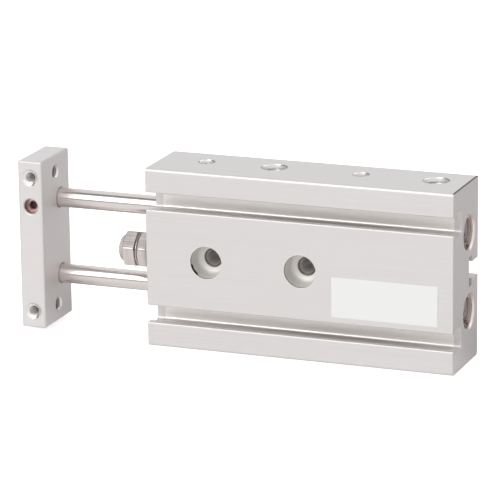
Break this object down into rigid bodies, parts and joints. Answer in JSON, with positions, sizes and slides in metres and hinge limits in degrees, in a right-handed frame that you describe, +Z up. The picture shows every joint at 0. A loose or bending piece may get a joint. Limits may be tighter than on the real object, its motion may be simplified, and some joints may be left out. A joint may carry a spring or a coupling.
{
  "type": "guided pneumatic cylinder",
  "caption": "Compact twin-rod air cylinder: two rods in a slotted aluminium housing push an end plate that can't turn.",
  "frame": {"origin": "middle of the housing's bottom face", "axes": "+X from the end plate towards the housing's head end, along the rods; +Y from the front face with the counterbores towards the back; +Z up"},
  "size_m": [0.0932, 0.0161, 0.037],
  "materials": {
    "anodised_aluminium": "fine blasted and clear anodised",
    "turned_aluminium": "turned and clear anodised",
    "label_white": "plain white film",
    "sintered_bronze": "oil filled bronze",
    "nitrile_rubber": "matt",
    "spring_steel": "phosphated spring steel",
    "chromed_steel": "ground and hard chromed",
    "nickel_steel": "nickel plated",
    "coppered_steel": "dark steel with copper coloured thread lock",
    "black_steel": "blackened",
    "acetal": "moulded",
    "magnet_plastic": "plastic bonded magnet",
    "urethane": "moulded"
  },
  "bodies": {
    "housing_body": {"housing": "anodised_aluminium", "label": "label_white", "rod_cover_upper": "turned_aluminium", "head_cover_upper": "turned_aluminium", "rod_bush_upper": "sintered_bronze", "rod_seal_upper": "nitrile_rubber", "rod_cover_oring_upper": "nitrile_rubber", "head_cover_oring_upper": "nitrile_rubber", "rod_ring_upper": "spring_steel", "head_ring_upper": "spring_steel", "rod_cover_lower": "turned_aluminium", "head_cover_lower": "turned_aluminium", "rod_bush_lower": "sintered_bronze", "rod_seal_lower": "nitrile_rubber", "rod_cover_oring_lower": "nitrile_rubber", "head_cover_oring_lower": "nitrile_rubber", "rod_ring_lower": "spring_steel", "head_ring_lower": "spring_steel", "stop_washer": "nickel_steel", "stop_nut": "nickel_steel", "stop_bolt": "nickel_steel", "stop_bumper": "urethane"},
    "rod_and_plate": {"end_plate": "anodised_aluminium", "rod_lock_screw": "coppered_steel", "plate_cap_screw": "black_steel", "piston_rod_upper": "chromed_steel", "piston_upper": "turned_aluminium", "piston_seal_upper": "nitrile_rubber", "wear_band_upper": "acetal", "magnet_upper": "magnet_plastic", "piston_nut_upper": "nickel_steel", "cushion_upper": "urethane", "piston_rod_lower": "chromed_steel", "piston_lower": "turned_aluminium", "piston_seal_lower": "nitrile_rubber", "wear_band_lower": "acetal", "magnet_lower": "magnet_plastic", "piston_nut_lower": "nickel_steel", "cushion_lower": "urethane"}
  },
  "joints": [
    {"name": "rod_slide", "type": "slide", "parent": "housing_body", "child": "rod_and_plate", "axis": [1, 0, 0], "range_m": [0, 0.015]}
  ]
}
